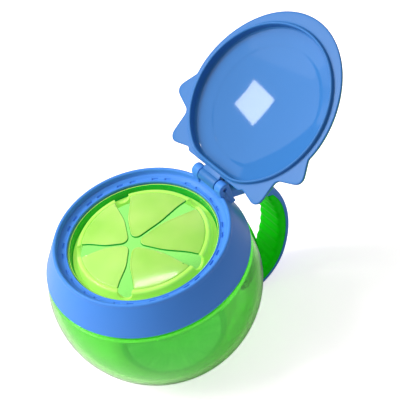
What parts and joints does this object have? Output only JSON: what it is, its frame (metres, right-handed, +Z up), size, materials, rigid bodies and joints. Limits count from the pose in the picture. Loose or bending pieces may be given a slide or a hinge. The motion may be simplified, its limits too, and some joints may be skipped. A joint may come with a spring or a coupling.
{
  "type": "toddler snack container",
  "caption": "Round tinted bowl with a turn-off collar, a soft insert whose flaps spring back, a domed lobed lid on a rear hinge, and a C-shaped handle with a ribbed grip.",
  "frame": {"origin": "centre of the bowl's flat base, on the table", "axes": "+Z up along the bowl's axis; +Y towards the lid hinge and the handle; the lid's front tab is at -Y when it is shut; +X to the right seen from the tab"},
  "size_m": [0.096, 0.1616, 0.1161],
  "materials": {
    "bowl": "clear tinted green, polished",
    "collar": "blue moulded plastic, satin gloss",
    "insert": "soft lime silicone, translucent",
    "lid_inner": "blue moulded plastic, glossy",
    "lid_outer": "green moulded plastic, glossy",
    "pin": "bright drawn wire",
    "grip": "soft green grip, matte"
  },
  "bodies": {
    "bowl": {"bowl": "bowl"},
    "insert": {"flap_ring": "insert"},
    "flap_1": {"flap_1": "insert"},
    "flap_2": {"flap_2": "insert"},
    "flap_3": {"flap_3": "insert"},
    "flap_4": {"flap_4": "insert"},
    "flap_5": {"flap_5": "insert"},
    "collar": {"collar": "collar", "handle": "collar", "handle_grip": "grip", "hinge_pin": "pin"},
    "lid": {"lid_shell": "lid_inner", "lid_cover": "lid_outer"}
  },
  "joints": [
    {"name": "collar_lift", "type": "slide", "parent": "bowl", "child": "insert", "axis": [0, 0, 1], "range_m": [0, 0.0021]},
    {"name": "collar_turn", "type": "hinge", "parent": "insert", "child": "collar", "pos_m": [0, 0, 0.05581], "axis": [0, 0, 1], "range_deg": [0, 120]},
    {"name": "lid_hinge", "type": "hinge", "parent": "collar", "child": "lid", "pos_m": [0, 0.0404, 0.07331], "axis": [1, 0, 0], "range_deg": [0, 151]},
    {"name": "flap_1_bend", "type": "hinge", "parent": "insert", "child": "flap_1", "pos_m": [-0.01637, 0.02253, 0.0662], "axis": [0.809, 0.5878, 0], "range_deg": [-8, 42], "stiffness_Nm_per_rad": 0.01},
    {"name": "flap_2_bend", "type": "hinge", "parent": "insert", "child": "flap_2", "pos_m": [-0.02649, -0.00861, 0.0662], "axis": [-0.309, 0.9511, 0], "range_deg": [-8, 42], "stiffness_Nm_per_rad": 0.01},
    {"name": "flap_3_bend", "type": "hinge", "parent": "insert", "child": "flap_3", "pos_m": [0, -0.02785, 0.0662], "axis": [-1, 0, 0], "range_deg": [-8, 42], "stiffness_Nm_per_rad": 0.01},
    {"name": "flap_4_bend", "type": "hinge", "parent": "insert", "child": "flap_4", "pos_m": [0.02649, -0.00861, 0.0662], "axis": [-0.309, -0.9511, 0], "range_deg": [-8, 42], "stiffness_Nm_per_rad": 0.01},
    {"name": "flap_5_bend", "type": "hinge", "parent": "insert", "child": "flap_5", "pos_m": [0.01637, 0.02253, 0.0662], "axis": [0.809, -0.5878, 0], "range_deg": [-8, 42], "stiffness_Nm_per_rad": 0.01}
  ],
  "couplings": [
    {"joint": "collar_lift", "follows": "collar_turn", "m_per_rad": 0.00095493}
  ]
}
